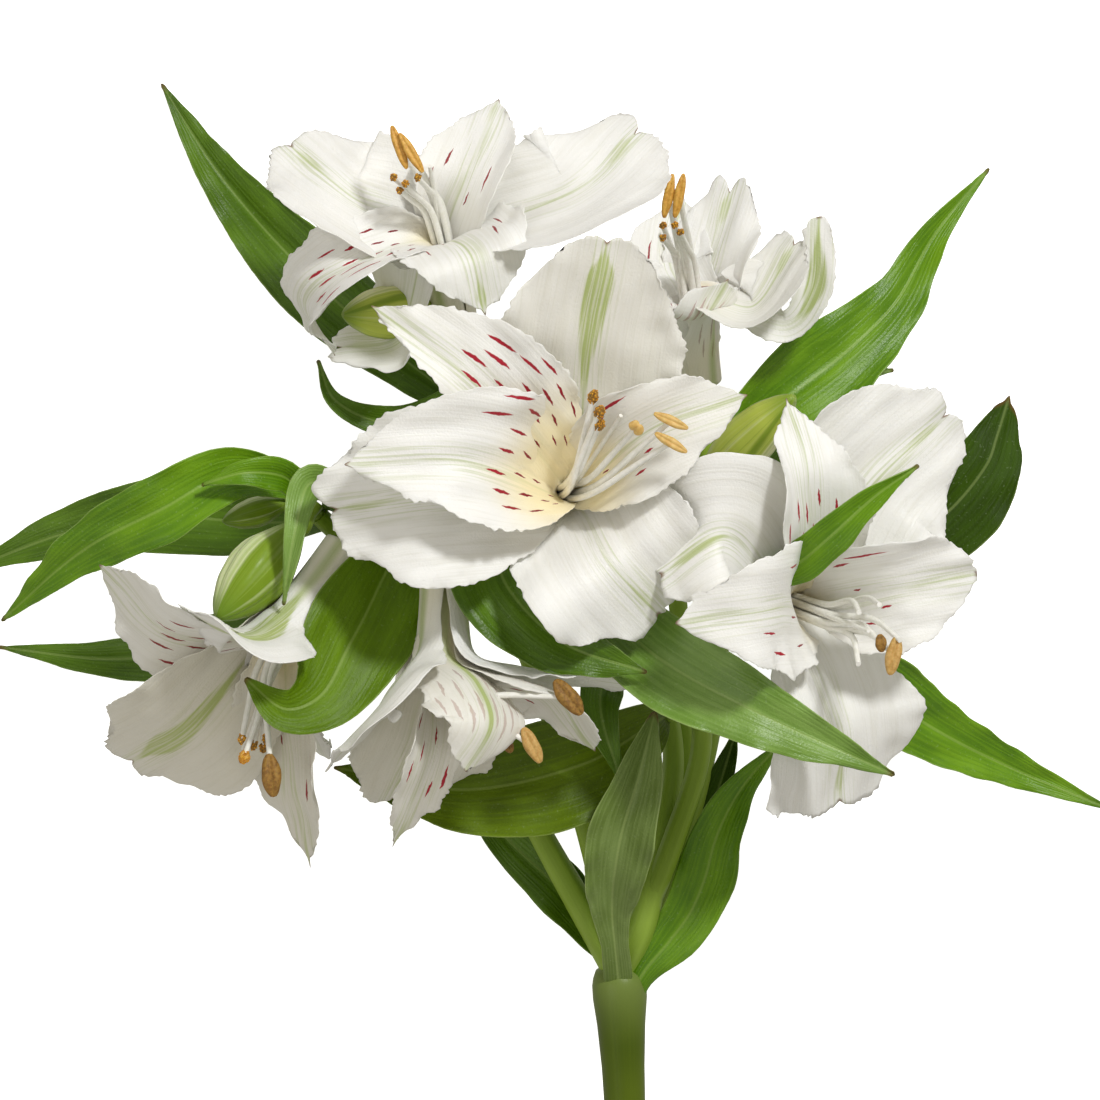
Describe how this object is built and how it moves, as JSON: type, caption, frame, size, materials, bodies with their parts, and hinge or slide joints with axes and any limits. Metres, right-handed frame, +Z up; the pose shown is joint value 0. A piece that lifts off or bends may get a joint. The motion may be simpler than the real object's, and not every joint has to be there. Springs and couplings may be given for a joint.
{
  "type": "alstroemeria stem",
  "caption": "Cut alstroemeria stem with an umbel of open white blooms, green buds and narrow twisted leaves, lying on its side for use as a cut flower.",
  "frame": {"origin": "on the plane the stem lies on, under the middle of its bounding box", "axes": "+Y along the stem from its cut end to the umbel, +Z up from the plane it lies on, which is the way the blooms face"},
  "size_m": [0.2041, 0.3063, 0.0884],
  "materials": {
    "stem": "living green stem, smooth and faintly waxy",
    "leaf": "satin green leaf with parallel veins",
    "tepal": "soft white petal, thin and slightly translucent",
    "stamen": "white filaments with tan powdery anthers",
    "bud": "smooth pale green closed bud"
  },
  "bodies": {
    "root": {"stem": "stem", "leaf_01": "leaf", "leaf_02": "leaf", "leaf_03": "leaf", "leaf_04": "leaf", "leaf_05": "leaf", "leaf_06": "leaf", "leaf_07": "leaf", "leaf_08": "leaf", "leaf_09": "leaf", "leaf_10": "leaf", "leaf_11": "leaf", "leaf_12": "leaf", "leaf_13": "leaf", "leaf_14": "leaf", "leaf_15": "leaf", "leaf_16": "leaf", "leaf_17": "leaf", "leaf_18": "leaf", "leaf_19": "leaf", "leaf_20": "leaf", "leaf_21": "leaf", "leaf_22": "leaf", "bloom_a_tepals": "tepal", "bloom_a_stamens": "stamen", "bloom_b_tepals": "tepal", "bloom_b_stamens": "stamen", "bloom_c_tepals": "tepal", "bloom_c_stamens": "stamen", "bloom_d_tepals": "tepal", "bloom_d_stamens": "stamen", "bloom_e_tepals": "tepal", "bloom_e_stamens": "stamen", "bloom_f_tepals": "tepal", "bloom_f_stamens": "stamen", "bud_g": "bud", "bud_h": "bud", "bud_i": "bud", "bud_j": "bud"}
  },
  "joints": []
}
